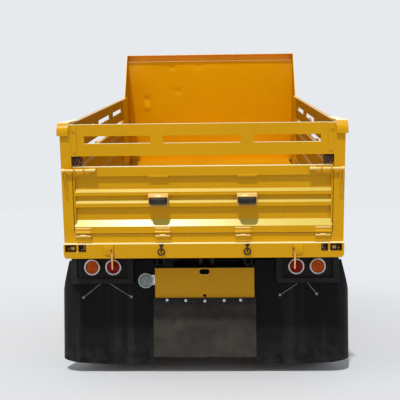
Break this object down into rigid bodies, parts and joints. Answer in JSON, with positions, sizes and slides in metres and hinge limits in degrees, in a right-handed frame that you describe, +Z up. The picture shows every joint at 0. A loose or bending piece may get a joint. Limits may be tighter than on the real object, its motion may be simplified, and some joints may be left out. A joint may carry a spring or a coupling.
{
  "type": "six-wheel dump truck",
  "caption": "Cab-over dump truck with a yellow tipping bed, slatted boards, drop tailgate, twin rear wheels and rubber mud flaps.",
  "frame": {"origin": "middle of the bounding box, on the ground", "axes": "+Y forward, +X to the right as seen from behind, +Z up"},
  "size_m": [2.544, 6.7153, 3.5414],
  "materials": {
    "paint_yellow": "gloss",
    "paint_orange": "gloss",
    "cab_white": "gloss",
    "chassis_black": "satin",
    "rim_silver": "satin",
    "tyre": "matt",
    "rubber": "matt",
    "cast_iron": "rough",
    "bright_steel": "polished",
    "lamp_lens": "gloss",
    "head_lens": "gloss",
    "glass": "clear",
    "black_plastic": "matt",
    "tank_alloy": "satin",
    "seat_cloth": "woven"
  },
  "bodies": {
    "chassis": {"chassis_rails": "chassis_black", "chassis_cross_members": "chassis_black", "subframe": "chassis_black", "guard_plate": "paint_yellow", "centre_flap": "rubber", "mud_flaps": "rubber", "lamp_boxes": "chassis_black", "tail_lamps": "lamp_lens", "rear_axle": "chassis_black", "front_axle": "chassis_black", "springs": "chassis_black", "engine_block": "cast_iron", "driveline": "cast_iron", "fuel_tank": "tank_alloy", "battery_box": "chassis_black", "air_tanks": "chassis_black", "exhaust": "cast_iron", "front_bumper": "cab_white", "headlamps": "head_lens", "front_mudguards": "black_plastic"},
    "bed": {"bed_floor": "paint_orange", "bed_bearers": "paint_yellow", "bed_cross_members": "paint_yellow", "bed_sides": "paint_yellow", "headboard": "paint_orange", "headboard_frame": "paint_orange", "headboard_ribs": "paint_orange", "tail_frame": "paint_yellow", "tail_rack": "paint_yellow"},
    "gate": {"tailgate": "paint_yellow", "tailgate_buffers": "rubber", "tailgate_latches": "paint_yellow"},
    "barrel": {"hoist_barrel": "chassis_black"},
    "ram": {"hoist_rod": "bright_steel"},
    "cab": {"cab_shell": "cab_white", "cab_glass": "glass", "dashboard": "black_plastic", "steering_wheel": "black_plastic", "seats": "seat_cloth", "grille": "black_plastic", "mirrors": "black_plastic"},
    "left_door": {"door_left": "cab_white", "door_left_glass": "glass"},
    "right_door": {"door_right": "cab_white", "door_right_glass": "glass"},
    "left_knuckle": {"knuckle_left": "chassis_black"},
    "right_knuckle": {"knuckle_right": "chassis_black"},
    "front_wheel_left": {"front_tyre_left": "tyre", "front_rim_left": "rim_silver"},
    "front_wheel_right": {"front_tyre_right": "tyre", "front_rim_right": "rim_silver"},
    "rear_wheels_left": {"rear_tyres_left": "tyre", "rear_rims_left": "rim_silver"},
    "rear_wheels_right": {"rear_tyres_right": "tyre", "rear_rims_right": "rim_silver"}
  },
  "joints": [
    {"name": "bed_tip", "type": "hinge", "parent": "chassis", "child": "bed", "pos_m": [0, -2.82472, 1.0396], "axis": [1, 0, 0], "range_deg": [-11.2, 38.8]},
    {"name": "tailgate_hinge", "type": "hinge", "parent": "bed", "child": "gate", "pos_m": [0, -3.18656, 1.24014], "axis": [1, 0, 0], "range_deg": [0, 90]},
    {"name": "hoist_pivot", "type": "hinge", "parent": "chassis", "child": "barrel", "pos_m": [0, -2.275, 0.84], "axis": [1, 0, 0], "range_deg": [-13, 45]},
    {"name": "hoist_stroke", "type": "slide", "parent": "barrel", "child": "ram", "axis": [0, 0.9375, 0.348], "range_m": [-0.0925, 0.316]},
    {"name": "cab_tilt", "type": "hinge", "parent": "chassis", "child": "cab", "pos_m": [0, 3.197, 0.85], "axis": [-1, 0, 0], "range_deg": [0, 45]},
    {"name": "door_left_hinge", "type": "hinge", "parent": "cab", "child": "left_door", "pos_m": [-1.1, 2.967, 1.795], "axis": [0, 0, -1], "range_deg": [0, 70]},
    {"name": "door_right_hinge", "type": "hinge", "parent": "cab", "child": "right_door", "pos_m": [1.1, 2.967, 1.795], "axis": [0, 0, 1], "range_deg": [0, 70]},
    {"name": "steer_left", "type": "hinge", "parent": "chassis", "child": "left_knuckle", "pos_m": [-0.85, 2.067, 0.509], "axis": [0, 0, 1], "range_deg": [-35, 35]},
    {"name": "steer_right", "type": "hinge", "parent": "chassis", "child": "right_knuckle", "pos_m": [0.85, 2.067, 0.509], "axis": [0, 0, 1], "range_deg": [-35, 35]},
    {"name": "spin_front_left", "type": "hinge", "parent": "left_knuckle", "child": "front_wheel_left", "pos_m": [-0.96, 2.067, 0.509], "axis": [1, 0, 0], "continuous": true},
    {"name": "spin_front_right", "type": "hinge", "parent": "right_knuckle", "child": "front_wheel_right", "pos_m": [0.96, 2.067, 0.509], "axis": [1, 0, 0], "continuous": true},
    {"name": "spin_rear_left", "type": "hinge", "parent": "chassis", "child": "rear_wheels_left", "pos_m": [-0.89, -2.033, 0.509], "axis": [1, 0, 0], "continuous": true},
    {"name": "spin_rear_right", "type": "hinge", "parent": "chassis", "child": "rear_wheels_right", "pos_m": [0.89, -2.033, 0.509], "axis": [1, 0, 0], "continuous": true}
  ],
  "couplings": [
    {"joint": "hoist_pivot", "follows": "bed_tip", "ratio": 1.1445},
    {"joint": "hoist_stroke", "follows": "bed_tip", "m_per_rad": 0.4625},
    {"joint": "steer_right", "follows": "steer_left", "ratio": 1}
  ]
}
